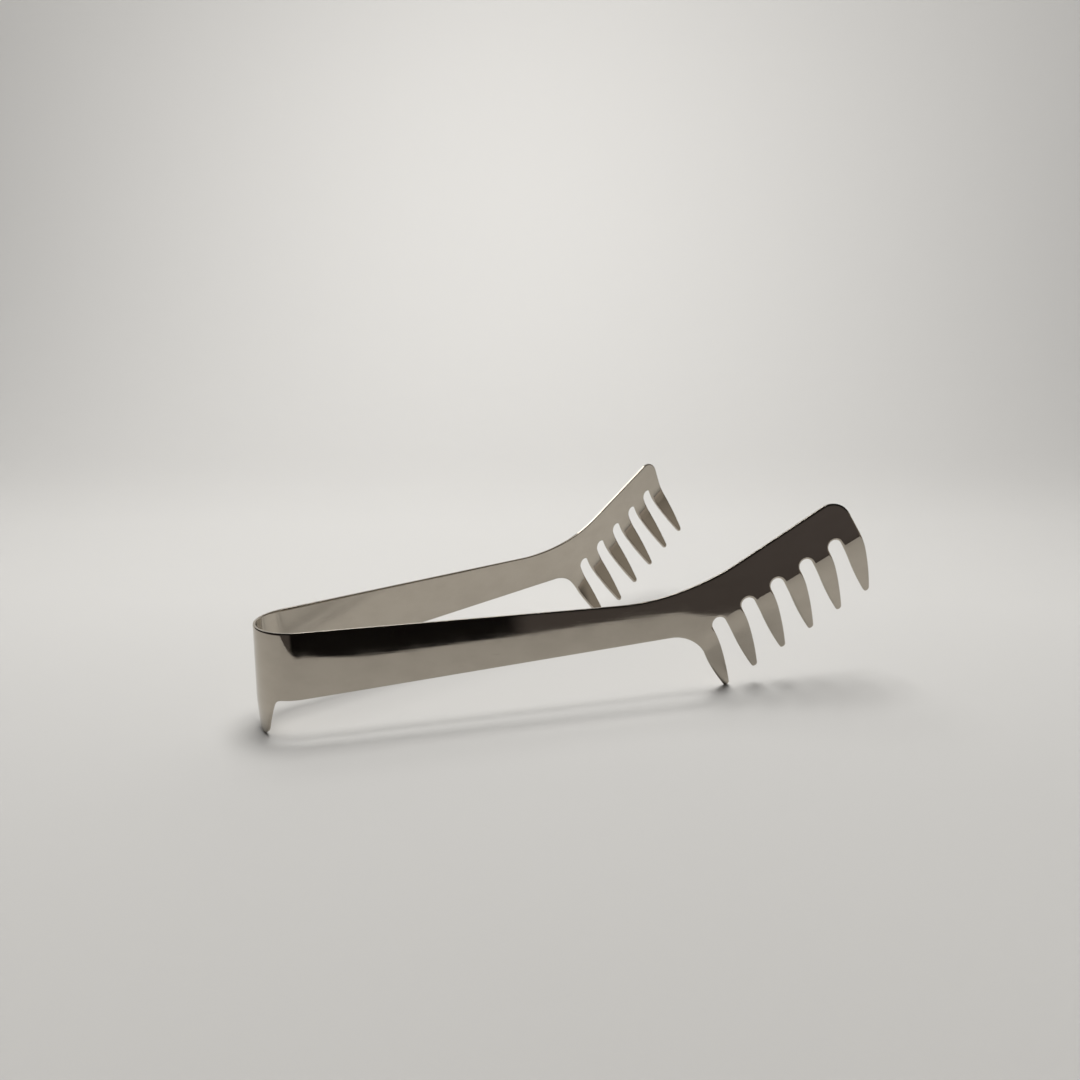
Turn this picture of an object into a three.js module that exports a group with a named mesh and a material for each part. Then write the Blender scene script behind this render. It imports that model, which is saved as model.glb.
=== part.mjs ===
// Spaghetti tongs bent from one strip of spring steel. Units are millimetres, +Z is up and
// +X runs from the bow to the tines. Each zone of the strip is drawn as a flat blank, scored
// where it bends, and formed to its place. On the blank, s runs along the strip from the
// middle of the bow, v is the height on the sheet, and w is outwards through its thickness.
import * as THREE from "three";

// The strip
const SHEET = 1; // thickness of the steel
const SEAM = 0.3; // gap between neighbouring zones
const BOW_RADIUS = 14.1; // bend of the bow, at the strip's middle height
const STRIP_MIDDLE = 25; // height where the bow's radius is measured
const ARM_SPREAD = 12.9; // degrees between each arm and the middle plane
const BOW_LEAN = 1.2; // degrees that the middle of the bow leans inwards towards its top edge
const ARM_LEAN = 5.3; // degrees that the arms lean inwards towards their top edges
const TOP_EDGE = 35.1; // height of the top edge of the bow and the arms
const BOTTOM_EDGE = 13.15; // height of the bottom edge at the middle of the bow
const BOTTOM_RISE = 3.95; // degrees that the bottom edge climbs along the arms

// The rear foot
const FOOT_ROOT_WIDTH = 20.8; // where it leaves the strip's bottom edge
const FOOT_TIP_WIDTH = 10.4; // between its lower corners before they are rounded
const FOOT_FILLET = 3.2; // radius between the foot and the strip
const FOOT_CORNER = 5; // radius of its lower corners
const FOOT_TUCK = 4.1; // degrees that it turns in below its fillets
const FOOT_GRIND = 0.05; // taken off the tip to make it flat on the table

// The combs, measured from the middle of the first tine where the slots end
const COMB_ALONG = 130; // from the bow's end, along the arm
const COMB_HEIGHT = 25.3; // up the sheet
const COMB_RISE = 31.1; // degrees that the comb climbs
const COMB_FLARE = 2.75; // degrees that it turns out from the arm
const COMB_OFFSET = 0.2; // how far the plate stands out from the arm's plane there
const PLATE_WIDTH = 12.05; // from the slots' ends to the top edge
const PLATE_LEAN = 6; // degrees that the plate leans inwards to its top edge
const END_MARGIN = 4; // from the last tine's middle to the end of the comb
const END_CORNER = 7.1; // radius of the corner at the top of the end
const NECK_RADIUS = 82; // of the top edge between arm and comb
const NECK_MARGIN = 1; // from that curve to the seam between arm and comb
const NECK_BACK = 15; // how far behind the first tine the comb's form begins
const NECK_AHEAD = 6; // how far past the first tine's middle it is complete
const THROAT_RADIUS = 13.6; // of the bottom edge where it meets the first tine

// The tines
const TINES = 6; // on each comb
const PITCH = 12; // from one tine to the next
const TINE_WIDTH = 6.75; // beside the slots
const TINE_LENGTH = 28.3; // from the slots' ends to the tips
const TINE_SHOULDER = 15.4; // depth that the sides aim for before they draw in to the tip
const TINE_FAN = 0.43; // degrees that each tine leans back from the one in front
const TINE_LEAN = 17.1; // degrees that the tines lean inwards to their tips
const TIP_RADIUS = 1.15; // of the tips
const BEND_START = -2.1; // height from the slots' ends where the bend of the tines begins
const BEND_LENGTH = 7.7; // of the bend, measured down the tines

// Fineness of the solids
const CURVE_STEPS = 6; // steps in a quarter of a rounding or in one side of a tine
const BOW_STEPS = 12; // score lines on each side of the bow
const NECK_STEPS = 10; // score lines across the neck
const BEND_STEPS = 7; // score lines down the bend to the tines
const SNAP = 0.02; // points keep at least this far from each other and from score lines

const rad = THREE.MathUtils.degToRad;
const rise = rad(COMB_RISE);
const plateLean = rad(PLATE_LEAN);
const tineLean = rad(TINE_LEAN);
const bowTurn = rad(90 - ARM_SPREAD);
const bowEnd = BOW_RADIUS * bowTurn; // s where the bow becomes an arm
const combRoot = new THREE.Vector2(bowEnd + COMB_ALONG, COMB_HEIGHT);
const neckStart = combRoot.x - NECK_BACK;
const neckEnd = combRoot.x + NECK_AHEAD;
const middle = new THREE.Vector2();
const up = new THREE.Vector3(0, 0, 1);

// Height of the strip's bottom edge at a distance from the middle of the bow.
const bottomEdge = (s) => BOTTOM_EDGE + s * Math.tan(rad(BOTTOM_RISE));

// Between the blank of the strip and the comb's own axes: d along its row of tines, e up.
const onComb = (s, v) => new THREE.Vector2(s, v).sub(combRoot).rotateAround(middle, -rise);
const onStrip = (d, e) => new THREE.Vector2(d, e).rotateAround(middle, rise).add(combRoot);

// Where the top edges of arm and comb would meet, and the seam behind the curve that joins them.
const neckCorner =
  combRoot.x + ((TOP_EDGE - COMB_HEIGHT) * Math.cos(rise) - PLATE_WIDTH) / Math.sin(rise);
const combSeam = neckCorner - NECK_RADIUS * Math.tan(rise / 2) - NECK_MARGIN;

// A point of the bow or of the left arm. The lean grows along the bow to that of the arms.
function armPoint(s, v, w) {
  const turned = Math.min(s / BOW_RADIUS, bowTurn);
  const straight = Math.max(s - bowEnd, 0);
  const ahead = new THREE.Vector3(Math.sin(turned), Math.cos(turned), 0);
  const outward = new THREE.Vector3(-Math.cos(turned), Math.sin(turned), 0);
  const share = THREE.MathUtils.smootherstep(s, 0, bowEnd);
  const lean = rad(THREE.MathUtils.lerp(BOW_LEAN, ARM_LEAN, share));
  const above = v - STRIP_MIDDLE;
  return new THREE.Vector3(BOW_RADIUS, 0, STRIP_MIDDLE)
    .addScaledVector(outward, BOW_RADIUS - above * Math.sin(lean) + w * Math.cos(lean))
    .addScaledVector(ahead, straight)
    .addScaledVector(up, above * Math.cos(lean) + w * Math.sin(lean));
}

// A point of the left comb. Down from BEND_START the sheet bends from the plate's lean to the tines'.
const combTurn = bowTurn - rad(COMB_FLARE);
const combAhead = new THREE.Vector3(Math.sin(combTurn), Math.cos(combTurn), 0);
const combOut = new THREE.Vector3(-Math.cos(combTurn), Math.sin(combTurn), 0);
const spine = combAhead.clone().multiplyScalar(Math.cos(rise)).setZ(Math.sin(rise));
const across = combAhead.clone().multiplyScalar(-Math.sin(rise)).setZ(Math.cos(rise));
const combOrigin = armPoint(combRoot.x, combRoot.y, 0).addScaledVector(combOut, COMB_OFFSET);
const bendRate = (plateLean + tineLean) / BEND_LENGTH;

function combPoint(d, e, w) {
  const above = Math.max(e - BEND_START, 0);
  const bent = THREE.MathUtils.clamp(BEND_START - e, 0, BEND_LENGTH);
  const below = Math.max(BEND_START - BEND_LENGTH - e, 0);
  const angle = plateLean - bent * bendRate;
  const height =
    BEND_START +
    above * Math.cos(plateLean) -
    (Math.sin(plateLean) - Math.sin(angle)) / bendRate -
    below * Math.cos(tineLean);
  const out =
    (Math.cos(angle) - Math.cos(plateLean)) / bendRate -
    (above + BEND_START) * Math.sin(plateLean) -
    below * Math.sin(tineLean);
  return combOrigin
    .clone()
    .addScaledVector(spine, d)
    .addScaledVector(across, height + w * Math.sin(angle))
    .addScaledVector(combOut, out + w * Math.cos(angle));
}

// A point of the formed strip. Negative s is the right half, which mirrors the left.
function formed(s, v, w) {
  const length = Math.abs(s);
  const comb = onComb(length, v);
  const share = THREE.MathUtils.smootherstep(length, neckStart, neckEnd);
  const point = armPoint(length, v, w).lerp(combPoint(comb.x, comb.y, w), share);
  return s < 0 ? point.setY(-point.y) : point;
}

// Draws a line towards a corner and rounds the corner on the way to the next point.
function roundCorner(shape, corner, next, radius) {
  const back = shape.currentPoint.clone().sub(corner).normalize();
  const ahead = next.clone().sub(corner).normalize();
  const half = Math.acos(back.dot(ahead)) / 2;
  const inward = back.clone().add(ahead).normalize();
  const centre = corner.clone().addScaledVector(inward, radius / Math.sin(half));
  const start = corner.clone().addScaledVector(back, radius / Math.tan(half));
  const finish = corner.clone().addScaledVector(ahead, radius / Math.tan(half));
  const startAngle = start.clone().sub(centre).angle();
  const finishAngle = finish.clone().sub(centre).angle();
  shape.lineTo(start.x, start.y);
  shape.absarc(centre.x, centre.y, radius, startAngle, finishAngle, back.cross(ahead) > 0);
}

// Cuts one flat cell along the line at a distance in the given direction.
function cutCell(cell, direction, distance) {
  const ring = [];
  cell.forEach((point, i) => {
    const next = cell[(i + 1) % cell.length];
    const here = direction.dot(point) - distance;
    const there = direction.dot(next) - distance;
    ring.push({ point });
    if (here * there < 0) ring.push({ point: point.clone().lerp(next, here / (here - there)), cut: true });
  });
  const cuts = ring.filter((node) => node.cut);
  cuts.sort((a, b) => direction.cross(a.point) - direction.cross(b.point));
  cuts.forEach((node, i) => (node.partner = cuts[i % 2 ? i - 1 : i + 1]));
  ring.forEach((node, i) => (node.next = ring[(i + 1) % ring.length]));
  const pieces = [];
  for (const start of ring.filter((node) => !node.cut)) {
    if (start.done) continue;
    const piece = [];
    let node = start;
    do {
      node.done = true;
      piece.push(node.point);
      if (node.cut) {
        node = node.partner;
        piece.push(node.point);
      }
      node = node.next;
    } while (node !== start);
    pieces.push(piece);
  }
  return pieces;
}

// Scores all cells along one line, which gives way to points that it would nearly touch.
function score(cells, direction, distance) {
  const near = (point, at) => Math.abs(direction.dot(point) - at) < SNAP;
  let line = distance;
  while (cells.flat().some((point) => near(point, line))) line += SNAP;
  return cells.flatMap((cell) => cutCell(cell, direction, line));
}

// Evenly spaced values from one end to the other, ends included.
function steps(from, to, count) {
  return Array.from({ length: count + 1 }, (_, i) => THREE.MathUtils.lerp(from, to, i / count));
}

// Scores a blank, gives it the sheet's thickness and moves each point to its formed place.
function formedSheet(blank, scores, place) {
  const outline = blank
    .getPoints(CURVE_STEPS)
    .filter((point, i, all) => point.distanceTo(all.at(i - 1)) > SNAP);
  if (THREE.ShapeUtils.isClockWise(outline)) outline.reverse();
  let cells = [outline];
  for (const { direction, distances } of scores) {
    for (const distance of distances) cells = score(cells, direction, distance);
  }
  const inner = (point) => place(point.x, point.y, -SHEET / 2);
  const outer = (point) => place(point.x, point.y, SHEET / 2);
  const key = (a, b) => [a.x, a.y, b.x, b.y].map((value) => value.toFixed(4)).join();
  const edges = cells.flatMap((cell) => cell.map((point, i) => [point, cell[(i + 1) % cell.length]]));
  const shared = new Set(edges.map(([a, b]) => key(b, a)));
  const triangles = [];
  for (const cell of cells) {
    for (const [i, j, k] of THREE.ShapeUtils.triangulateShape(cell, [])) {
      triangles.push([outer(cell[i]), outer(cell[j]), outer(cell[k])]);
      triangles.push([inner(cell[k]), inner(cell[j]), inner(cell[i])]);
    }
  }
  for (const [a, b] of edges.filter(([a, b]) => !shared.has(key(a, b)))) {
    triangles.push([inner(a), inner(b), outer(b)]);
    triangles.push([inner(a), outer(b), outer(a)]);
  }
  const volume = triangles.reduce((sum, [a, b, c]) => sum + a.dot(b.clone().cross(c)), 0);
  if (volume < 0) triangles.forEach((triangle) => triangle.reverse());
  const solid = new THREE.BufferGeometry().setFromPoints(triangles.flat());
  solid.computeVertexNormals();
  return solid;
}

// The foot's sides run straight from its root to its lower corners at the given height.
const footRoot = new THREE.Vector2(FOOT_ROOT_WIDTH / 2, bottomEdge(FOOT_ROOT_WIDTH / 2));
const footSeam = footRoot.y - FOOT_FILLET;

function footSide(height, end) {
  const share = (footRoot.y - height) / (footRoot.y - end);
  const half = THREE.MathUtils.lerp(footRoot.x, FOOT_TIP_WIDTH / 2, share);
  return new THREE.Vector2(half, height);
}

const mirrored = (point) => new THREE.Vector2(-point.x, point.y);

function bowBlank(footEnd) {
  const edge = bowEnd - SEAM / 2;
  const stub = footSide(footSeam + SEAM / 2, footEnd);
  const blank = new THREE.Shape();
  blank.moveTo(-edge, TOP_EDGE);
  blank.lineTo(-edge, bottomEdge(edge));
  roundCorner(blank, mirrored(footRoot), mirrored(stub), FOOT_FILLET);
  blank.lineTo(-stub.x, stub.y);
  blank.lineTo(stub.x, stub.y);
  roundCorner(blank, footRoot, new THREE.Vector2(edge, bottomEdge(edge)), FOOT_FILLET);
  blank.lineTo(edge, bottomEdge(edge));
  blank.lineTo(edge, TOP_EDGE);
  return blank;
}

function footBlank(footEnd) {
  const root = footSide(footSeam - SEAM / 2, footEnd);
  const tip = footSide(footEnd, footEnd);
  const blank = new THREE.Shape();
  blank.moveTo(root.x, root.y);
  blank.lineTo(-root.x, root.y);
  roundCorner(blank, mirrored(tip), tip, FOOT_CORNER);
  roundCorner(blank, tip, root, FOOT_CORNER);
  return blank;
}

function armBlank() {
  const start = bowEnd + SEAM / 2;
  const end = combSeam - SEAM / 2;
  const blank = new THREE.Shape();
  blank.moveTo(start, TOP_EDGE);
  blank.lineTo(start, bottomEdge(start));
  blank.lineTo(end, bottomEdge(end));
  blank.lineTo(end, TOP_EDGE);
  return blank;
}

// Draws a tine down its rear side, round its tip and up its front side to the end of the slot.
const slotRadius = (PITCH - TINE_WIDTH) / 2;

function drawTine(blank, index, frontHalf) {
  const slant = Math.tan(rad(TINE_FAN * (index + 1 - TINES)));
  const axis = (depth) => index * PITCH + depth * slant;
  const tip = new THREE.Vector2(axis(TINE_LENGTH - TIP_RADIUS), TIP_RADIUS - TINE_LENGTH);
  const rear = new THREE.Vector2(axis(TINE_SHOULDER) - TINE_WIDTH / 2, -TINE_SHOULDER);
  const front = new THREE.Vector2(axis(TINE_SHOULDER) + frontHalf, -TINE_SHOULDER);
  const touch = (aim) => Math.acos(TIP_RADIUS / aim.distanceTo(tip));
  const rearAngle = rear.clone().sub(tip).angle() + touch(rear);
  const frontAngle = front.clone().sub(tip).angle() - touch(front);
  const rearTouch = new THREE.Vector2(TIP_RADIUS, 0).rotateAround(middle, rearAngle).add(tip);
  blank.quadraticCurveTo(rear.x, rear.y, rearTouch.x, rearTouch.y);
  blank.absarc(tip.x, tip.y, TIP_RADIUS, rearAngle, frontAngle, false);
  blank.quadraticCurveTo(front.x, front.y, index * PITCH + frontHalf, -slotRadius);
}

// The comb's blank, drawn along its own axes.
function combBlank() {
  const start = combSeam + SEAM / 2;
  const last = TINES - 1;
  const end = last * PITCH + END_MARGIN;
  const seamTop = onComb(start, TOP_EDGE);
  const seamBottom = onComb(start, bottomEdge(start));
  const climb = Math.tan(rad(BOTTOM_RISE));
  const throat =
    (combRoot.x * Math.cos(rise) + (COMB_HEIGHT - BOTTOM_EDGE) * Math.sin(rise) - TINE_WIDTH / 2) /
    (Math.cos(rise) + climb * Math.sin(rise));
  const tineRear = new THREE.Vector2(-TINE_WIDTH / 2, -TINE_LENGTH);
  const blank = new THREE.Shape();
  blank.moveTo(seamTop.x, seamTop.y);
  blank.lineTo(seamBottom.x, seamBottom.y);
  roundCorner(blank, onComb(throat, bottomEdge(throat)), tineRear, THROAT_RADIUS);
  for (let index = 0; index < last; index += 1) {
    drawTine(blank, index, TINE_WIDTH / 2);
    blank.absarc((index + 0.5) * PITCH, -slotRadius, slotRadius, Math.PI, 0, true);
  }
  drawTine(blank, last, END_MARGIN);
  const neck = onComb(neckCorner, TOP_EDGE);
  roundCorner(blank, new THREE.Vector2(end, PLATE_WIDTH), neck, END_CORNER);
  roundCorner(blank, neck, seamTop, NECK_RADIUS);
  return blank;
}

const tongs = new THREE.Group();

function addZone(name, geometry) {
  const steel = new THREE.MeshStandardMaterial({ color: 0xbcb5aa, metalness: 1, roughness: 0.12 });
  const zone = new THREE.Mesh(geometry, steel);
  zone.name = name;
  tongs.add(zone);
}

const stripAxis = new THREE.Vector2(1, 0);
const stripAxisOnComb = new THREE.Vector2(1, 0).rotateAround(middle, -rise);
const combUp = new THREE.Vector2(0, 1);
const bowScores = [{ direction: stripAxis, distances: steps(-bowEnd, bowEnd, 2 * BOW_STEPS) }];
const armScores = [{ direction: stripAxis, distances: steps(neckStart, neckEnd, NECK_STEPS) }];
const combScores = [
  { direction: stripAxisOnComb, distances: steps(-NECK_BACK, NECK_AHEAD, NECK_STEPS) },
  { direction: combUp, distances: steps(BEND_START, BEND_START - BEND_LENGTH, BEND_STEPS) },
];

for (const [name, side] of [
  ["left", 1],
  ["right", -1],
]) {
  const placeComb = (d, e, w) => {
    const point = onStrip(d, e);
    return formed(side * point.x, point.y, w);
  };
  addZone(`${name}_arm`, formedSheet(armBlank(), armScores, (s, v, w) => formed(side * s, v, w)));
  addZone(`${name}_comb`, formedSheet(combBlank(), combScores, placeComb));
}

// The first tines' tips stand on the table, and the foot reaches down to it and is flat there.
const table = new THREE.Box3().setFromObject(tongs).min.z;
const footLow = formed(0, 0, SHEET / 2).z;
const footHigh = formed(0, TOP_EDGE, SHEET / 2).z;
const footEnd = ((table - footLow) / (footHigh - footLow)) * TOP_EDGE - FOOT_GRIND;

const tuckHeight = formed(0, footSeam, 0).z;
const placeFoot = (s, v, w) => {
  const point = formed(s, v, w);
  const tuck = (tuckHeight - point.z) * Math.tan(rad(FOOT_TUCK));
  return point.set(point.x + tuck, point.y, Math.max(point.z, table));
};
addZone("spring_bow", formedSheet(bowBlank(footEnd), bowScores, formed));
addZone("rear_foot", formedSheet(footBlank(footEnd), bowScores, placeFoot));

// The part's origin is under the middle of the tongs, on the table.
const box = new THREE.Box3().setFromObject(tongs);
tongs.position.set(-(box.min.x + box.max.x) / 2, 0, -box.min.z);

export default tongs;
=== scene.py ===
import math

import bpy
import numpy as np
from mathutils.geometry import delaunay_2d_cdt
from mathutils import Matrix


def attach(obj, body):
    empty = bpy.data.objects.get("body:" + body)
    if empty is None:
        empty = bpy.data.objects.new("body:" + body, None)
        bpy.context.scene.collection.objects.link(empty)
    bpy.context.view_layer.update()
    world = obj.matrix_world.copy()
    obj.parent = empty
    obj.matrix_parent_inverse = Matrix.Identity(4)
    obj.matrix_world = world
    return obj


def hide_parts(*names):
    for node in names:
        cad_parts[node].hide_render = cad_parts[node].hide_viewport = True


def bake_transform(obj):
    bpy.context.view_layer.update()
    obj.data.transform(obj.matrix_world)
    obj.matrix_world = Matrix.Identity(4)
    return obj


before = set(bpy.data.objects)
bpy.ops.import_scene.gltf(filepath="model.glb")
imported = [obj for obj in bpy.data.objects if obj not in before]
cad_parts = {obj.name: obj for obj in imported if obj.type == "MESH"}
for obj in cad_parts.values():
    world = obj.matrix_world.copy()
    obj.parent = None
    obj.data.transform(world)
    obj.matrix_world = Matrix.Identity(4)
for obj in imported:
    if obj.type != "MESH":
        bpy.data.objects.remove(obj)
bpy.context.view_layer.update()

# Spaghetti tongs bent from one strip of polished steel. On the flat blank, s runs along the strip
# from the middle of the bow, v is the height on the sheet and w is outwards through its thickness.
# The strip is measured in millimetres, and the camera and the set in metres.

# The strip, as in the CAD part
SHEET = 1.0  # thickness of the steel
BOW_RADIUS = 14.1  # bend of the bow, at the strip's middle height
STRIP_MIDDLE = 25.0  # height where the bow's radius is measured
ARM_SPREAD = math.radians(12.9)  # between each arm and the middle plane
BOW_LEAN = math.radians(1.2)  # of the middle of the bow, inwards to its top edge
ARM_LEAN = math.radians(5.3)  # of the arms, inwards to their top edges
TOP_EDGE = 35.1  # height of the top edge of the bow and the arms
BOTTOM_EDGE = 13.15  # height of the bottom edge at the middle of the bow
BOTTOM_RISE = math.radians(3.95)  # climb of the bottom edge along the arms

# The rear foot, as in the CAD part
FOOT_ROOT_WIDTH = 20.8  # where it leaves the strip's bottom edge
FOOT_TIP_WIDTH = 10.4  # between its lower corners before they are rounded
FOOT_FILLET = 3.2  # radius between the foot and the strip
FOOT_CORNER = 5.0  # radius of its lower corners
FOOT_TUCK = math.radians(4.1)  # turn inwards below its fillets
FOOT_GRIND = 0.05  # taken off the tip to make it flat on the table

# The combs, as in the CAD part, measured from the middle of the first tine where the slots end
COMB_ALONG = 130.0  # from the bow's end, along the arm
COMB_HEIGHT = 25.3  # up the sheet
COMB_RISE = math.radians(31.1)  # climb of the comb
COMB_FLARE = math.radians(2.75)  # turn outwards from the arm
COMB_OFFSET = 0.2  # how far the plate stands out from the arm's plane there
PLATE_WIDTH = 12.05  # from the slots' ends to the top edge
PLATE_LEAN = math.radians(6.0)  # of the plate, inwards to its top edge
END_MARGIN = 4.0  # from the last tine's middle to the end of the comb
END_CORNER = 7.1  # radius of the corner at the top of the end
NECK_RADIUS = 82.0  # of the top edge between arm and comb
THROAT_RADIUS = 13.6  # of the bottom edge where it meets the first tine

# The tines, as in the CAD part
TINES = 6  # on each comb
PITCH = 12.0  # from one tine to the next
TINE_WIDTH = 6.75  # beside the slots
TINE_LENGTH = 28.3  # from the slots' ends to the tips
TINE_SHOULDER = 15.4  # depth that the sides aim for before they draw in to the tip
TINE_FAN = math.radians(0.43)  # lean of each tine back from the one in front
TINE_LEAN = math.radians(17.1)  # of the tines, inwards to their tips
TIP_RADIUS = 1.15  # of the tips
BEND_START = -2.1  # height from the slots' ends where the bend of the tines begins
BEND_LENGTH = 7.7  # of the bend, measured down the tines

# The CAD part's origin in the strip's own axes
ORIGIN_ALONG = 101.04322  # ahead of the middle of the bow
TABLE = 1.02014  # height of the table

# Forms that are finer here than in the CAD part
BEND_LEAN = math.radians(4.25)  # part of the arms' lean that is reached along the bow
TWIST_START, TWIST_END = 5.0, 45.0  # along the strip, where the rest of that lean is reached
NECK_BACK = 12.5  # how far behind the first tine the comb's form begins
NECK_AHEAD = 8.5  # how far past the first tine's middle it is complete
NECK_TURN = math.tan(math.radians(5.9))  # slope of the comb's face against the arm's at the neck
TUCK_EASE = 2.0  # height above and below the fillets' ends over which the foot turns in

# Rims: the faces roll off towards the cut edges, as on blanked and polished sheet
ROLL_WIDTH = 0.65  # on each face
ROLL_TURN = math.radians(30)  # reached at the edge
ROLL_STEPS = 4
EDGE_CORNER = 0.04  # bevel between the roll and the cut edge

# Where the bow's piece ends along the strip, and where each arm's piece begins
SEAM_AT = 12.9

# Longest steps along the outlines
NECK_STEP = 1.0
CORNER_STEP = 0.35
TINE_STEP = 0.4
TIP_STEP = 0.16
SLOT_STEP = 0.3
THROAT_STEP = 0.5
ARM_STEP = 1.2
FOOT_STEP = 0.25
BOW_STEP = 0.5
SEAM_STEP = 1.0
ARC_STEPS, CURVE_STEPS = 6, 8  # fewest steps on an arc and on a tine's side

# Fields of points inside the outlines: spacing along and up, and the corners of the areas covered
HINGE_SPACING = (1.0, 1.5)
ARM_SPACING = (2.2, 2.0)
COMB_SPACING = (1.5, 1.3)
BOW_SPACING = (1.0, 1.2)
HINGE_FIELD_START = SEAM_AT + 0.7  # along the strip
HINGE_FIELD_END = 30.0
NECK_FIELD = 25.0  # behind the first tine, where the arm's field ends
NECK_FIELD_GAP = 1.0  # from there to the comb's field
ARM_LOW, ARM_HIGH = 10.0, 36.0  # heights on the sheet
COMB_FIELD = (-40.0, -30.0), (66.0, 14.0)  # in the comb's own axes
BOW_FIELD = (-SEAM_AT + 0.6, -2.0), (SEAM_AT, 36.0)
FIELD_CLEARANCE = 0.6  # from the outline to the nearest point inside

SAME_POINT = 1e-4  # points of an outline that are closer than this are one point
INSIDE_ONLY, MERGE_WITHIN = 1, 1e-6  # triangles kept, and points merged, when a face is filled
PROBE = 0.01  # step on the blank that measures the formed sheet's directions
BLANK_UNIT = 100.0  # millimetres of the blank in one unit of its texture coordinates
METRE = 1000.0  # millimetres

bow_turn = math.pi / 2 - ARM_SPREAD
bow_end = BOW_RADIUS * bow_turn
comb_root = np.array([bow_end + COMB_ALONG, COMB_HEIGHT])
neck_start = comb_root[0] - NECK_BACK
neck_end = comb_root[0] + NECK_AHEAD
slot_radius = (PITCH - TINE_WIDTH) / 2
neck_corner = comb_root[0] + (
    (TOP_EDGE - COMB_HEIGHT) * math.cos(COMB_RISE) - PLATE_WIDTH
) / math.sin(COMB_RISE)


def bottom_edge(s):
    return BOTTOM_EDGE + s * math.tan(BOTTOM_RISE)


def turned(points, angle):
    c, s = math.cos(angle), math.sin(angle)
    return np.asarray(points, float) @ np.array([[c, s], [-s, c]])


def on_comb(points):
    return turned(np.asarray(points, float) - comb_root, -COMB_RISE)


def on_strip(points):
    return turned(points, COMB_RISE) + comb_root


def smoother(value, low, high):
    t = np.clip((value - low) / (high - low), 0, 1)
    return t * t * t * (t * (6 * t - 15) + 10)


def arm_point(s, v, w):
    """Points of the bow or the left arm. The lean grows along the bow and on into the arm."""
    turn = np.minimum(s / BOW_RADIUS, bow_turn)
    ahead_of_bow = np.maximum(s - bow_end, 0)
    lean = BOW_LEAN + (BEND_LEAN - BOW_LEAN) * smoother(s, 0, bow_end)
    lean = lean + (ARM_LEAN - BEND_LEAN) * smoother(s, TWIST_START, TWIST_END)
    above = v - STRIP_MIDDLE
    reach = BOW_RADIUS - above * np.sin(lean) + w * np.cos(lean)
    x = BOW_RADIUS - np.cos(turn) * reach + np.sin(turn) * ahead_of_bow
    y = np.sin(turn) * reach + np.cos(turn) * ahead_of_bow
    z = STRIP_MIDDLE + above * np.cos(lean) + w * np.sin(lean)
    return np.stack([x, y, z], -1)


comb_turn = bow_turn - COMB_FLARE
comb_ahead = np.array([math.sin(comb_turn), math.cos(comb_turn), 0])
comb_out = np.array([-math.cos(comb_turn), math.sin(comb_turn), 0])
upward = np.array([0.0, 0.0, 1.0])
spine = comb_ahead * math.cos(COMB_RISE) + upward * math.sin(COMB_RISE)
across = upward * math.cos(COMB_RISE) - comb_ahead * math.sin(COMB_RISE)
comb_origin = arm_point(comb_root[0], comb_root[1], 0.0) + comb_out * COMB_OFFSET
bend_rate = (PLATE_LEAN + TINE_LEAN) / BEND_LENGTH


def comb_point(d, e, w):
    """Points of the left comb: d along the row of tines, e up. The tines bend in below the plate."""
    above = np.maximum(e - BEND_START, 0)
    bent = np.clip(BEND_START - e, 0, BEND_LENGTH)
    below = np.maximum(BEND_START - BEND_LENGTH - e, 0)
    angle = PLATE_LEAN - bent * bend_rate
    height = (
        BEND_START
        + above * math.cos(PLATE_LEAN)
        - (math.sin(PLATE_LEAN) - np.sin(angle)) / bend_rate
        - below * math.cos(TINE_LEAN)
    )
    out = (
        (np.cos(angle) - math.cos(PLATE_LEAN)) / bend_rate
        - (above + BEND_START) * math.sin(PLATE_LEAN)
        - below * math.sin(TINE_LEAN)
    )
    along = np.multiply.outer(d, spine)
    high = np.multiply.outer(height + w * np.sin(angle), across)
    wide = np.multiply.outer(out + w * np.cos(angle), comb_out)
    return comb_origin + along + high + wide


def neck_ease(s):
    """Fills the neck out a little, so that its face turns evenly from the arm to the comb."""
    width = neck_end - neck_start
    t = np.clip((s - neck_start) / width, 0, 1)
    even_turn = t**6 - 3 * t**5 + 2.5 * t**4  # the integral of smoother()
    return NECK_TURN * width * (even_turn - smoother(t, 0, 1) * (t - 0.5))


def formed(s, v, w):
    """Points of the formed strip in the CAD frame. Negative s is the right half."""
    length = np.abs(s)
    comb = on_comb(np.stack([length, v], -1))
    share = smoother(length, neck_start, neck_end)[..., None]
    arm_part = arm_point(length, v, w) * (1 - share)
    point = arm_part + comb_point(comb[..., 0], comb[..., 1], w) * share
    point += neck_ease(length)[..., None] * comb_out
    point[..., 1] *= np.where(s < 0, -1.0, 1.0)
    return point - [ORIGIN_ALONG, 0, TABLE]


def middle_height(v, w):
    """Height above the table of a point in the middle of the bow."""
    return formed(np.array([0.0]), np.array([v]), np.array([w]))[0, 2]


foot_root = np.array([FOOT_ROOT_WIDTH / 2, bottom_edge(FOOT_ROOT_WIDTH / 2)])
foot_seam = foot_root[1] - FOOT_FILLET
foot_low = middle_height(0.0, SHEET / 2)
foot_end = -foot_low / (middle_height(TOP_EDGE, SHEET / 2) - foot_low) * TOP_EDGE - FOOT_GRIND
tuck_height = middle_height(foot_seam, 0.0)


def formed_bow(s, v, w):
    """Points of the bow and its foot, which turns in below its fillets."""
    point = formed(s, v, w)
    drop = tuck_height - point[..., 2]
    eased = (drop + TUCK_EASE) ** 2 / (4 * TUCK_EASE)
    soft = np.where(drop < -TUCK_EASE, 0, np.where(drop > TUCK_EASE, drop, eased))
    point[..., 0] += soft * math.tan(FOOT_TUCK)
    return point


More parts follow.
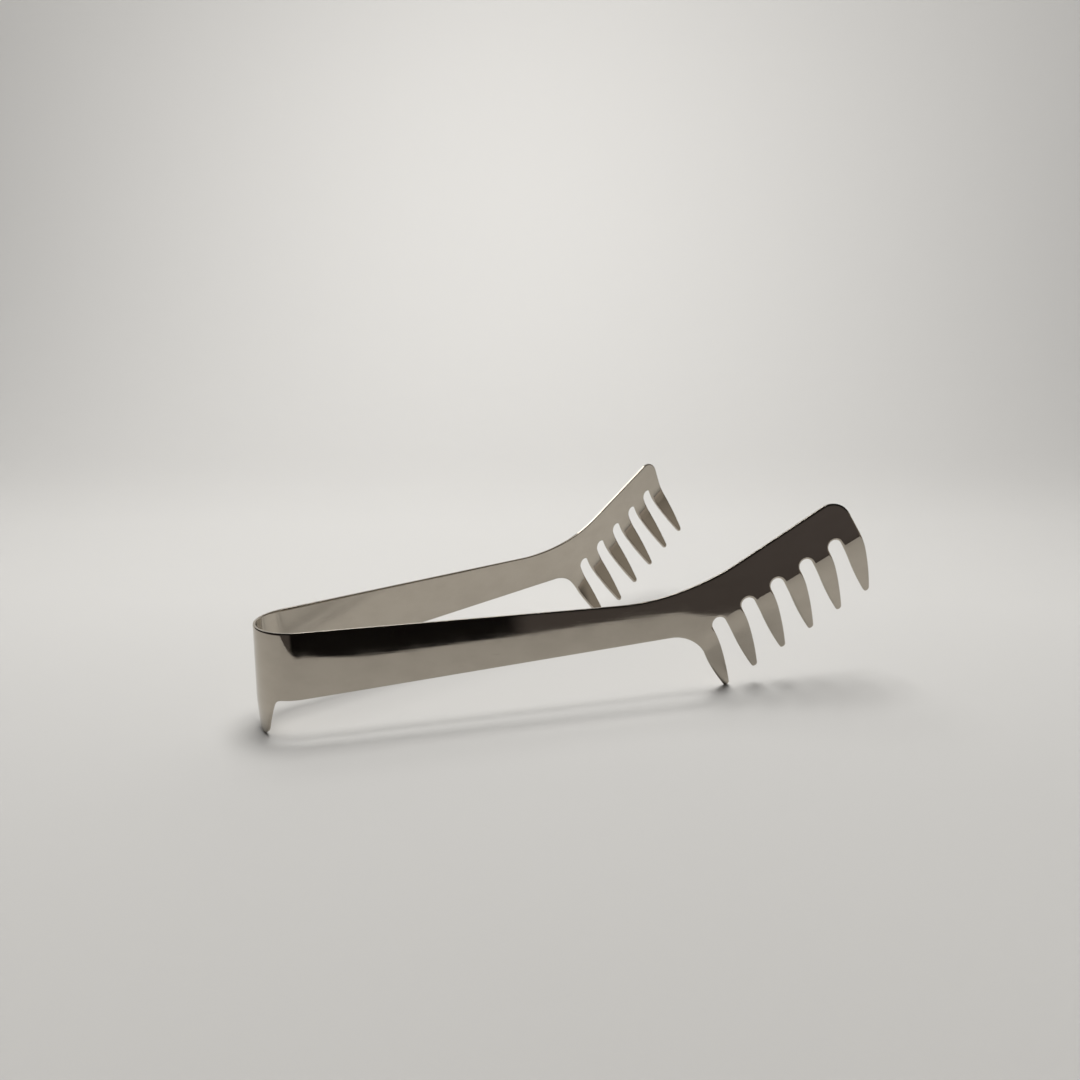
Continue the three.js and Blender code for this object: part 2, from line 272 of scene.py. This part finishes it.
# Pieces of outline on the flat blank, each an array of points
def straight(start, finish, step):
    start, finish = np.asarray(start, float), np.asarray(finish, float)
    count = max(1, math.ceil(np.linalg.norm(finish - start) / step))
    return start + np.linspace(0, 1, count + 1)[:, None] * (finish - start)


def arc(centre, radius, start, turn, step):
    count = max(ARC_STEPS, math.ceil(abs(turn) * radius / step))
    angles = start + np.linspace(0, 1, count + 1) * turn
    return np.asarray(centre) + radius * np.stack([np.cos(angles), np.sin(angles)], -1)


def rounded(before, corner, after, radius, step):
    """The arc that rounds a corner between two other points."""
    before, corner, after = (np.asarray(p, float) for p in (before, corner, after))
    back = (before - corner) / np.linalg.norm(before - corner)
    ahead = (after - corner) / np.linalg.norm(after - corner)
    half = math.acos(np.clip(back @ ahead, -1, 1)) / 2
    inward = (back + ahead) / np.linalg.norm(back + ahead)
    centre = corner + inward * radius / math.sin(half)
    first = corner + back * radius / math.tan(half) - centre
    last = corner + ahead * radius / math.tan(half) - centre
    start = math.atan2(first[1], first[0])
    turn = math.atan2(first[0] * last[1] - first[1] * last[0], first @ last)
    return arc(centre, radius, start, turn, step)


def curve(start, control, finish, step):
    start, control, finish = (np.asarray(p, float) for p in (start, control, finish))
    count = max(CURVE_STEPS, math.ceil(np.linalg.norm(finish - start) / step))
    t = np.linspace(0, 1, count + 1)[:, None]
    return (1 - t) ** 2 * start + 2 * t * (1 - t) * control + t * t * finish


def joined(*parts):
    points = np.vstack(parts)
    gap = np.linalg.norm(np.diff(points, axis=0), axis=1)
    return points[np.r_[True, gap > SAME_POINT]]


def filled(points, step):
    """Adds points to the long straight stretches of an outline."""
    parts = [straight(a, b, step)[:-1] for a, b in zip(points[:-1], points[1:])]
    return np.vstack(parts + [points[-1:]])


def tine(index, front_half, rear_end):
    """One tine from the front end of its side, round its tip and up to rear_end."""
    slant = math.tan(TINE_FAN * (index + 1 - TINES))

    def axis(depth):
        return index * PITCH + depth * slant

    tip = np.array([axis(TINE_LENGTH - TIP_RADIUS), TIP_RADIUS - TINE_LENGTH])
    rear = np.array([axis(TINE_SHOULDER) - TINE_WIDTH / 2, -TINE_SHOULDER])
    front = np.array([axis(TINE_SHOULDER) + front_half, -TINE_SHOULDER])

    def touch(aim, side):
        away = aim - tip
        return math.atan2(away[1], away[0]) + side * math.acos(TIP_RADIUS / np.linalg.norm(away))

    rear_angle, front_angle = touch(rear, 1), touch(front, -1)
    turn = (rear_angle - front_angle) % (2 * math.pi) - 2 * math.pi
    round_tip = arc(tip, TIP_RADIUS, front_angle, turn, TIP_STEP)
    front_end = [index * PITCH + front_half, -slot_radius]
    front_side = curve(front_end, front, round_tip[0], TINE_STEP)
    rear_side = curve(round_tip[-1], rear, rear_end, TINE_STEP)
    return joined(front_side, round_tip, rear_side)


def half_outline():
    """Outline of one arm and comb, from the seam's top, round the comb, to the seam's bottom."""
    last = TINES - 1
    seam_top = on_comb([SEAM_AT, TOP_EDGE])
    seam_bottom = on_comb([SEAM_AT, bottom_edge(SEAM_AT)])
    neck = on_comb([neck_corner, TOP_EDGE])
    end_top = np.array([last * PITCH + END_MARGIN, PLATE_WIDTH])
    end_low = np.array([last * PITCH + END_MARGIN, -slot_radius])
    climb = math.tan(BOTTOM_RISE)
    throat = (
        comb_root[0] * math.cos(COMB_RISE)
        + (COMB_HEIGHT - BOTTOM_EDGE) * math.sin(COMB_RISE)
        - TINE_WIDTH / 2
    ) / (math.cos(COMB_RISE) + climb * math.sin(COMB_RISE))
    throat_point = on_comb([throat, bottom_edge(throat)])
    tine_rear = np.array([-TINE_WIDTH / 2, -TINE_LENGTH])
    throat_arc = rounded(tine_rear, throat_point, seam_bottom, THROAT_RADIUS, THROAT_STEP)
    parts = [
        seam_top[None],
        rounded(seam_top, neck, end_top, NECK_RADIUS, NECK_STEP),
        rounded(neck, end_top, end_low, END_CORNER, CORNER_STEP),
    ]
    for index in range(last, 0, -1):
        rear_end = [index * PITCH - TINE_WIDTH / 2, -slot_radius]
        parts.append(tine(index, END_MARGIN if index == last else TINE_WIDTH / 2, rear_end))
        slot_middle = [(index - 0.5) * PITCH, -slot_radius]
        parts.append(arc(slot_middle, slot_radius, 0, math.pi, SLOT_STEP))
    parts += [tine(0, TINE_WIDTH / 2, throat_arc[0]), throat_arc, seam_bottom[None]]
    return on_strip(filled(joined(*parts), ARM_STEP))


def foot_outline():
    """Bottom edge of the bow with the foot, from the left seam to the right seam."""
    seam = np.array([SEAM_AT, bottom_edge(SEAM_AT)])
    tip = np.array([FOOT_TIP_WIDTH / 2, foot_end])
    left = joined(
        seam[None],
        rounded(seam, foot_root, tip, FOOT_FILLET, FOOT_STEP),
        rounded(foot_root, tip, tip * [-1, 1], FOOT_CORNER, FOOT_STEP),
    )
    return filled(joined(left, left[::-1] * [-1, 1]), BOW_STEP)


def inside(points, ring):
    """Which points lie inside a closed ring."""
    x, y = points[:, :1], points[:, 1:]
    x0, y0 = ring.T
    x1, y1 = np.roll(ring, -1, 0).T
    rising = np.where(y1 == y0, 1, y1 - y0)  # level edges are never hit
    hit = ((y0 > y) != (y1 > y)) & (x < (x1 - x0) * (y - y0) / rising + x0)
    return hit.sum(1) % 2 == 1


def lattice(low, high, spacing):
    """Staggered points over a rectangle."""
    rows = []
    for k, v in enumerate(np.arange(low[1], high[1], spacing[1])):
        s = np.arange(low[0] + (k % 2) * spacing[0] / 2, high[0], spacing[0])
        rows.append(np.stack([s, np.full(len(s), v)], -1))
    return np.vstack(rows)


def rim_profile():
    """The rim's rings from the outer to the inner face: inset, level and tilt of the normal."""
    rolled = np.linspace(0, ROLL_TURN, ROLL_STEPS + 1)
    roll_radius = ROLL_WIDTH / math.sin(ROLL_TURN)
    roll_inset = ROLL_WIDTH + EDGE_CORNER - roll_radius * np.sin(rolled)
    roll_level = SHEET / 2 - roll_radius * (1 - np.cos(rolled))
    cut_level = roll_level[-1] - EDGE_CORNER
    inset = np.r_[roll_inset, 0, 0, roll_inset[::-1]]
    level = np.r_[roll_level, cut_level, -cut_level, -roll_level[::-1]]
    tilt = np.r_[math.pi / 2 - rolled, 0, 0, rolled[::-1] - math.pi / 2]
    return inset, level, tilt


class Sheet:
    """Points and faces of a piece of the sheet, laid out on the flat blank."""

    def __init__(self):
        self.blank = np.empty((0, 2))
        self.level = np.empty(0)
        self.tilt = np.empty(0)
        self.away = np.empty((0, 2))
        self.faces = []

    def add(self, points, level, tilt, away):
        """Adds points and returns their numbers. Tilt turns a normal from away to the face's own."""
        first, count = len(self.blank), len(points)
        self.blank = np.vstack([self.blank, points])
        self.level = np.r_[self.level, np.broadcast_to(level, count)]
        self.tilt = np.r_[self.tilt, np.broadcast_to(tilt, count)]
        self.away = np.vstack([self.away, np.broadcast_to(away, (count, 2))])
        return list(range(first, first + count))

    def add_to_faces(self, points):
        """Adds the same points to the outer and to the inner face."""
        any_way = [0, 1]  # a face's own normal doesn't depend on it
        outer = self.add(points, SHEET / 2, math.pi / 2, any_way)
        inner = self.add(points, -SHEET / 2, -math.pi / 2, any_way)
        return outer, inner

    def add_rim(self, outline):
        """Adds the rim along an outline and returns the numbers of its rings at each point."""
        inset, level, tilt = rim_profile()
        rings, count = len(inset), len(outline)
        run = np.gradient(outline, axis=0)
        run /= np.linalg.norm(run, axis=1)[:, None]
        inward = np.stack([run[:, 1], -run[:, 0]], -1)
        for end in (0, -1):
            inward[end] = [0, math.copysign(1, inward[end, 1])]
        points = outline[:, None] + inset[None, :, None] * inward[:, None]
        numbers = self.add(
            points.reshape(-1, 2),
            np.tile(level, count),
            np.tile(tilt, count),
            np.repeat(-inward, rings, axis=0),
        )
        rim = [numbers[i * rings : (i + 1) * rings] for i in range(count)]
        for here, there in zip(rim[:-1], rim[1:]):
            for k in range(rings - 1):
                self.faces.append((here[k], there[k], there[k + 1], here[k + 1]))
        return rim

    def close(self, rims):
        """Joins the rims by straight seams and returns the loops round the outer and inner face."""
        outer_loop, inner_loop = [], []
        for rim, after in zip(rims, rims[1:] + rims[:1]):
            last, first = rim[-1], after[0]
            seam = straight(self.blank[last[0]], self.blank[first[0]], SEAM_STEP)[1:-1]
            outer, inner = self.add_to_faces(seam)
            outer_loop += [rings[0] for rings in rim] + outer
            inner_loop += [rings[-1] for rings in rim] + inner
            self.faces.append(tuple([last[0]] + outer + first + inner[::-1] + last[:0:-1]))
        return outer_loop, inner_loop

    def fill(self, outer_loop, inner_loop, field):
        """Covers both faces with triangles over the field's points that lie inside the loops."""
        ring = self.blank[outer_loop]
        clear = np.array([np.min(np.sum((ring - point) ** 2, axis=1)) for point in field])
        field = field[inside(field, ring) & (clear > FIELD_CLEARANCE**2)]
        outer, inner = self.add_to_faces(field)
        outer, inner = outer_loop + outer, inner_loop + inner
        flat = [tuple(point) for point in np.vstack([ring, field])]
        border = [list(range(len(ring)))]
        _, _, triangles, sources, _, _ = delaunay_2d_cdt(flat, [], border, INSIDE_ONLY, MERGE_WITHIN)
        for triangle in triangles:
            a, b, c = (sources[i][0] for i in triangle)
            self.faces.append((outer[a], outer[b], outer[c]))
            self.faces.append((inner[c], inner[b], inner[a]))

    def form(self, place):
        """Points and normals of the formed sheet. The faces are turned to look outwards."""
        s, v = self.blank.T
        w = self.level
        points = place(s, v, w)
        run = place(s + PROBE, v, w) - place(s - PROBE, v, w)
        rise = place(s, v + PROBE, w) - place(s, v - PROBE, w)
        through = place(s, v, w + PROBE) - place(s, v, w - PROBE)
        normal = np.cross(run, rise)
        normal *= np.sign(np.sum(normal * through, axis=1))[:, None]
        normal /= np.linalg.norm(normal, axis=1)[:, None]
        side = self.away[:, :1] * run + self.away[:, 1:] * rise
        side -= normal * np.sum(side * normal, axis=1)[:, None]
        side /= np.linalg.norm(side, axis=1)[:, None]
        normal = side * np.cos(self.tilt)[:, None] + normal * np.sin(self.tilt)[:, None]
        a, b, c = (points[[face[k] for face in self.faces]] for k in range(3))
        looking = normal[[face[0] for face in self.faces]]
        if np.sum(np.cross(b - a, c - a) * looking) < 0:
            self.faces = [face[::-1] for face in self.faces]
        return points, normal


def sheet_piece(name, outlines, place, fields):
    """A solid piece of the strip from outlines on the blank, flat where it stands on the table."""
    sheet = Sheet()
    loops = sheet.close([sheet.add_rim(outline) for outline in outlines])
    sheet.fill(*loops, np.vstack(fields))
    points, normal = sheet.form(place)
    points[:, 2] = np.maximum(points[:, 2], 0)
    mesh = bpy.data.meshes.new(name)
    mesh.from_pydata((points / METRE).tolist(), [], sheet.faces)
    mesh.polygons.foreach_set("use_smooth", [True] * len(mesh.polygons))
    layer = mesh.uv_layers.new(name="blank")
    corner = np.empty(len(mesh.loops), int)
    mesh.loops.foreach_get("vertex_index", corner)
    layer.data.foreach_set("uv", (sheet.blank[corner] / BLANK_UNIT).ravel())
    mesh.update()
    mesh.normals_split_custom_set_from_vertices(normal.tolist())
    piece = bpy.data.objects.new(name, mesh)
    bpy.context.scene.collection.objects.link(piece)
    return piece


class Nodes:
    """Short names for building a node tree."""

    def __init__(self, tree):
        self.tree = tree

    def put(self, value, socket):
        """Links another node's output to a socket, or sets the socket's own value."""
        if isinstance(value, bpy.types.NodeSocket):
            self.tree.links.new(value, socket)
        else:
            socket.default_value = value

    def add(self, kind, settings=None, **sockets):
        node = self.tree.nodes.new(kind)
        for key, value in (settings or {}).items():
            setattr(node, key, value)
        for key, value in sockets.items():
            self.put(value, node.inputs[key.replace("_", " ")])
        return node

    def noise(self, vector, scale, stretch=(1, 1, 1), detail=4.0, rough=0.55):
        mapping = self.add("ShaderNodeMapping", Vector=vector, Scale=stretch)
        return self.add(
            "ShaderNodeTexNoise",
            Vector=mapping.outputs["Vector"],
            Scale=scale,
            Detail=detail,
            Roughness=rough,
        ).outputs["Fac"]

    def spread(self, value, low, high, to_low=0.0, to_high=1.0):
        return self.add(
            "ShaderNodeMapRange",
            Value=value,
            From_Min=low,
            From_Max=high,
            To_Min=to_low,
            To_Max=to_high,
        ).outputs["Result"]

    def maths(self, operation, a, b):
        node = self.add("ShaderNodeMath", {"operation": operation})
        self.put(a, node.inputs[0])
        self.put(b, node.inputs[1])
        return node.outputs["Value"]

    def ramp(self, value, stops):
        """A colour ramp through stops of place and colour, the first at 0 and the last at 1."""
        node = self.add("ShaderNodeValToRGB", Fac=value)
        elements = node.color_ramp.elements
        elements[0].color = (*stops[0][1], 1)
        elements[1].color = (*stops[-1][1], 1)
        for place, colour in stops[1:-1]:
            elements.new(place).color = (*colour, 1)
        return node.outputs["Color"]


# Polished steel: colours, roughness, parts of the noise that show, and depths in metres
STEEL_CLEAN = (0.466, 0.424, 0.363)
STEEL_SMUDGED = (0.440, 0.399, 0.340)
STEEL_SCRATCHED = (0.385, 0.346, 0.293)
SMUDGE_WEAR, SCRATCH_WEAR = 0.6, 0.4  # shares of full wear
ROUGH_CLEAN, ROUGH_SMUDGED = 0.032, 0.060
ROUGH_LINES = (-0.01, 0.012)  # added in and between the polishing lines
ROUGH_SCRATCH = 0.10  # added in a scratch
SMUDGE_RANGE = (0.40, 0.64)
SCRATCH_RANGE = (0.70, 0.74)
LINE_RANGE = (0.3, 0.7)
LINE_DEPTH = 0.0000010
WAVE_DEPTH = 0.00002


def polished_steel():
    """Mirror polish with slight waves, wipe marks, fine polishing lines and a few hair scratches."""
    material = bpy.data.materials.new("polished_steel")
    material.use_nodes = True
    kit = Nodes(material.node_tree)
    shader = kit.tree.nodes["Principled BSDF"]
    sheet = kit.add("ShaderNodeUVMap", {"uv_map": "blank"}).outputs["UV"]
    smudge = kit.noise(sheet, scale=9.0, stretch=(1, 1.6, 1), detail=5.0, rough=0.6)
    streak = kit.noise(sheet, scale=3.0, stretch=(1, 60, 1), detail=3.0)
    hair = kit.noise(sheet, scale=11.0, stretch=(1, 34, 1), detail=2.0)
    wave = kit.noise(sheet, scale=4.0, stretch=(0.6, 1.5, 1), detail=1.0)
    film = kit.spread(smudge, *SMUDGE_RANGE)
    scratch = kit.spread(hair, *SCRATCH_RANGE)
    rough = kit.spread(film, 0.0, 1.0, ROUGH_CLEAN, ROUGH_SMUDGED)
    rough = kit.maths("ADD", rough, kit.spread(streak, *LINE_RANGE, *ROUGH_LINES))
    rough = kit.maths("ADD", rough, kit.spread(scratch, 0.0, 1.0, 0.0, ROUGH_SCRATCH))
    smudged = kit.maths("MULTIPLY", film, SMUDGE_WEAR)
    scratched = kit.maths("MULTIPLY", scratch, SCRATCH_WEAR)
    wear = kit.maths("ADD", smudged, scratched)
    tint = kit.ramp(wear, [(0, STEEL_CLEAN), (SMUDGE_WEAR, STEEL_SMUDGED), (1, STEEL_SCRATCHED)])
    lines = kit.add("ShaderNodeBump", Height=streak, Strength=1.0, Distance=LINE_DEPTH)
    waves = kit.add(
        "ShaderNodeBump",
        Height=wave,
        Strength=1.0,
        Distance=WAVE_DEPTH,
        Normal=lines.outputs["Normal"],
    )
    shader.inputs["Metallic"].default_value = 1.0
    kit.put(tint, shader.inputs["Base Color"])
    kit.put(rough, shader.inputs["Roughness"])
    kit.put(waves.outputs["Normal"], shader.inputs["Normal"])
    return material


steel = polished_steel()

# The two strips, each an arm with its comb
arm_field_end = comb_root[0] - NECK_FIELD
comb_field = on_strip(lattice(*COMB_FIELD, COMB_SPACING))
arm_fields = [
    lattice((HINGE_FIELD_START, ARM_LOW), (HINGE_FIELD_END, ARM_HIGH), HINGE_SPACING),
    lattice((HINGE_FIELD_END, ARM_LOW), (arm_field_end, ARM_HIGH), ARM_SPACING),
    comb_field[comb_field[:, 0] > arm_field_end + NECK_FIELD_GAP],
]
outline = half_outline()

arm_along = {1: np.array([math.sin(bow_turn), math.cos(bow_turn), 0])}
arm_along[-1] = arm_along[1] * [1, -1, 1]

for side, word in ((1, "left"), (-1, "right")):
    def place(s, v, w, side=side):
        return formed(side * s, v, w)

    piece = sheet_piece(f"{word}_strip", [outline], place, arm_fields)
    piece.data.materials.append(steel)
    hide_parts(f"{word}_arm", f"{word}_comb")
    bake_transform(piece)

# The bow with its foot
top_line = straight([-SEAM_AT, TOP_EDGE], [SEAM_AT, TOP_EDGE], BOW_STEP)
bow_fields = [lattice(*BOW_FIELD, BOW_SPACING)]
bow = sheet_piece("bow_and_foot", [top_line, foot_outline()], formed_bow, bow_fields)
bow.data.materials.append(steel)
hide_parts("spring_bow", "rear_foot")
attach(bow, "bow")

# The camera of the photograph
VIEW_AZIMUTH = math.radians(-27.722)
VIEW_DOWN = math.radians(13.3072)
VIEW_PLACE = (-0.1342114, -0.2506649, 0.1170522)
SENSOR_WIDTH = 36.0  # millimetres
FOCAL_LENGTH = 27.333  # millimetres
NEAREST = 0.01

camera_data = bpy.data.cameras.new("camera")
camera_data.sensor_width = SENSOR_WIDTH
camera_data.lens = FOCAL_LENGTH
camera_data.clip_start = NEAREST
camera = bpy.data.objects.new("camera", camera_data)
camera.location = VIEW_PLACE
camera.rotation_euler = (math.pi / 2 - VIEW_DOWN, 0, VIEW_AZIMUTH)
bpy.context.scene.collection.objects.link(camera)
bpy.context.scene.camera = camera

# A pale sheet of paper, swept up behind the tongs. Its front edge lies just below the picture.
PAPER_FRONT = -0.182
PAPER_BACK = 0.40  # where the sweep begins
SWEEP_RADIUS = 0.60
PAPER_HEIGHT = 1.2
PAPER_HALF_WIDTH = 1.2
FLOOR_ROWS, SWEEP_ROWS, UPRIGHT_ROWS = 12, 24, 6  # of points across the sheet
SWEEP_START = 0.05  # angle of the sweep's first row
UPRIGHT_START = 0.05  # from the sweep's top to the first row above it
SHADE_FRONT, SHADE_BACK = -0.20, 1.00  # depths between which the paper's painted shade changes
# Paper colours at the front and the back ends of the ramp, darkened there with painted shade
FRONT_PAINTED_SHADE = (0.535, 0.528, 0.512)
BACK_PAINTED_SHADE = (0.58, 0.574, 0.56)
PAPER_TINT = np.array([1.0, 0.99, 0.965])
# Places between the front at 0 and the back at 1, and how pale the paper is painted there: painted
# shade makes it darker towards the front and towards the back
PAPER_PAINTED_SHADES = ((0.11, 0.57), (0.17, 0.595), (0.24, 0.63), (0.38, 0.635), (0.60, 0.59))
CLOUD_RANGE = (0.3, 0.7)
CLOUD_SHIFT = (-0.01, 0.01)  # of the shade's place
GRAIN_DEPTH = 0.0001

ahead = np.array([-math.sin(VIEW_AZIMUTH), math.cos(VIEW_AZIMUTH), 0])
sideways = np.array([math.cos(VIEW_AZIMUTH), math.sin(VIEW_AZIMUTH), 0])


def paper_sweep():
    """The sheet's mesh: level under the tongs, then round the sweep and straight up."""
    profile = [(depth, 0.0) for depth in np.linspace(PAPER_FRONT, PAPER_BACK, FLOOR_ROWS)]
    for angle in np.linspace(SWEEP_START, math.pi / 2, SWEEP_ROWS):
        depth = PAPER_BACK + SWEEP_RADIUS * math.sin(angle)
        profile.append((depth, SWEEP_RADIUS - SWEEP_RADIUS * math.cos(angle)))
    for height in np.linspace(SWEEP_RADIUS + UPRIGHT_START, PAPER_HEIGHT, UPRIGHT_ROWS):
        profile.append((PAPER_BACK + SWEEP_RADIUS, height))
    points = [
        tuple(ahead * depth + sideways * edge + upward * height)
        for depth, height in profile
        for edge in (-PAPER_HALF_WIDTH, PAPER_HALF_WIDTH)
    ]
    faces = [(2 * i, 2 * i + 1, 2 * i + 3, 2 * i + 2) for i in range(len(profile) - 1)]
    mesh = bpy.data.meshes.new("paper_sweep")
    mesh.from_pydata(points, [], faces)
    mesh.polygons.foreach_set("use_smooth", [True] * len(faces))
    return mesh


def paper_material():
    """Matt paper with a fine grain, whose colour carries painted shade that changes softly from
    front to back.
    """
    material = bpy.data.materials.new("paper")
    material.use_nodes = True
    kit = Nodes(material.node_tree)
    shader = kit.tree.nodes["Principled BSDF"]
    place = kit.add("ShaderNodeTexCoord").outputs["Object"]
    grain = kit.noise(place, scale=900.0, detail=3.0)
    cloud = kit.noise(place, scale=6.0, detail=2.0)
    depth = kit.add("ShaderNodeVectorMath", {"operation": "DOT_PRODUCT"})
    kit.put(place, depth.inputs[0])
    kit.put(tuple(ahead), depth.inputs[1])
    # Painted shade: the paper's colour is made darker towards the front and towards the back, by
    # depth along the view
    shade = kit.spread(depth.outputs["Value"], SHADE_FRONT, SHADE_BACK)
    shade = kit.maths("ADD", shade, kit.spread(cloud, *CLOUD_RANGE, *CLOUD_SHIFT))
    between = [(at, tuple(level * PAPER_TINT)) for at, level in PAPER_PAINTED_SHADES]
    tint = kit.ramp(shade, [(0, FRONT_PAINTED_SHADE), *between, (1, BACK_PAINTED_SHADE)])
    bump = kit.add("ShaderNodeBump", Height=grain, Strength=0.15, Distance=GRAIN_DEPTH)
    kit.put(tint, shader.inputs["Base Color"])
    kit.put(bump.outputs["Normal"], shader.inputs["Normal"])
    shader.inputs["Roughness"].default_value = 0.9
    shader.inputs["Specular IOR Level"].default_value = 0.2
    return material


paper = bpy.data.objects.new("paper_sweep", paper_sweep())
bpy.context.scene.collection.objects.link(paper)
paper.data.materials.append(paper_material())

# Lamps
LAMP_COLOUR = (1.0, 0.99, 0.975)
OVERHEAD_PLACE = np.array([0.03, 0.12, 1.0])
BACK_STRIP_PLACE = np.array([0.04, 0.62, 0.92])
BACK_STRIP_AIM = np.array([0.05, 0.05, 0.03])
BACKDROP_PLACE = ahead * 0.20 + sideways * 0.06 + upward * 1.4
BACKDROP_AIM = ahead * 1.0 + sideways * 0.06 + upward * 0.65


def softbox(name, place, aim, width, depth, power, spread=180):
    """A rectangular lamp in metres and watts, aimed at a point."""
    data = bpy.data.lights.new(name, "AREA")
    data.shape = "RECTANGLE"
    data.size = width
    data.size_y = depth
    data.energy = power
    data.color = LAMP_COLOUR
    data.spread = math.radians(spread)
    lamp = bpy.data.objects.new(name, data)
    bpy.context.scene.collection.objects.link(lamp)
    lamp.location = place
    away = place - aim
    level = math.hypot(away[0], away[1])
    heading = math.atan2(away[0], -away[1]) if level > 0 else 0
    lamp.rotation_euler = (math.atan2(level, away[2]), 0, heading)


softbox("overhead", OVERHEAD_PLACE, OVERHEAD_PLACE * [1, 1, 0], width=0.55, depth=0.55, power=10.0)
softbox("back_strip", BACK_STRIP_PLACE, BACK_STRIP_AIM, width=0.5, depth=0.25, power=1.2)
softbox("backdrop", BACKDROP_PLACE, BACKDROP_AIM, width=2.4, depth=0.3, power=6.0, spread=90)

# The room round the set, by direction. Heights are the upward part of a direction of length 1, and
# angles turn from the -Y direction towards +X. Edges are soft, from one value to the other.
ROOM_LOW, ROOM_HIGH = -0.3, 0.7  # heights at the ends of the room's shades
ROOM_DARK = (0.014, 0.013, 0.012)
ROOM_SHADES = [
    (0, (0.075, 0.066, 0.059)),
    (0.30, (0.108, 0.095, 0.095)),
    (0.38, ROOM_DARK),
    (1, ROOM_DARK),
]
SCREEN_LEFT = math.radians(-42), math.radians(-36)
SCREEN_RIGHT = math.radians(-1.0), math.radians(0.4)
SCREEN_TOP = 0.10, 0.22
SCREEN_DARKNESS = 0.92
WALL_COLOUR = (0.355, 0.325, 0.285)
WALL_SIDE = math.radians(26), math.radians(41)
WALL_FOOT = -0.25, -0.10
WALL_TOP = 0.17, 0.25
CEILING_COLOUR = (0.30, 0.29, 0.28)
CEILING_BEHIND = 0.0, 0.4  # +Y part of the direction
CEILING_FOOT = 0.2, 0.6


def dim_room():
    """A dim room, dark above, with a dark screen by the camera, a pale wall and a pale ceiling."""
    world = bpy.data.worlds.new("room")
    world.use_nodes = True
    kit = Nodes(world.node_tree)
    direction = kit.add("ShaderNodeTexCoord").outputs["Generated"]
    way = kit.add("ShaderNodeSeparateXYZ", Vector=direction).outputs
    turn = kit.maths("ARCTAN2", way["X"], kit.maths("MULTIPLY", way["Y"], -1.0))

    left = kit.spread(turn, *SCREEN_LEFT)
    right = kit.spread(turn, *SCREEN_RIGHT, 1.0, 0.0)
    upper = kit.spread(way["Z"], *SCREEN_TOP, SCREEN_DARKNESS, 0.0)
    screen = kit.maths("MULTIPLY", kit.maths("MULTIPLY", left, right), upper)
    room = world.node_tree.nodes["Background"]
    shades = kit.ramp(kit.spread(way["Z"], ROOM_LOW, ROOM_HIGH), ROOM_SHADES)
    kit.put(shades, room.inputs["Color"])
    kit.put(kit.maths("SUBTRACT", 1.0, screen), room.inputs["Strength"])

    side = kit.spread(turn, *WALL_SIDE)
    foot = kit.spread(way["Z"], *WALL_FOOT)
    top = kit.spread(way["Z"], *WALL_TOP, 1.0, 0.0)
    wall = kit.maths("MULTIPLY", kit.maths("MULTIPLY", side, foot), top)
    behind = kit.spread(way["Y"], *CEILING_BEHIND)
    ceiling = kit.maths("MULTIPLY", behind, kit.spread(way["Z"], *CEILING_FOOT))

    light = room.outputs["Background"]
    for colour, strength in ((WALL_COLOUR, wall), (CEILING_COLOUR, ceiling)):
        pale = kit.add("ShaderNodeBackground", Color=(*colour, 1), Strength=strength)
        both = kit.add("ShaderNodeAddShader")
        kit.put(light, both.inputs[0])
        kit.put(pale.outputs["Background"], both.inputs[1])
        light = both.outputs["Shader"]
    kit.put(light, world.node_tree.nodes["World Output"].inputs["Surface"])
    return world


bpy.context.scene.world = dim_room()
bpy.context.scene.view_settings.view_transform = "Standard"
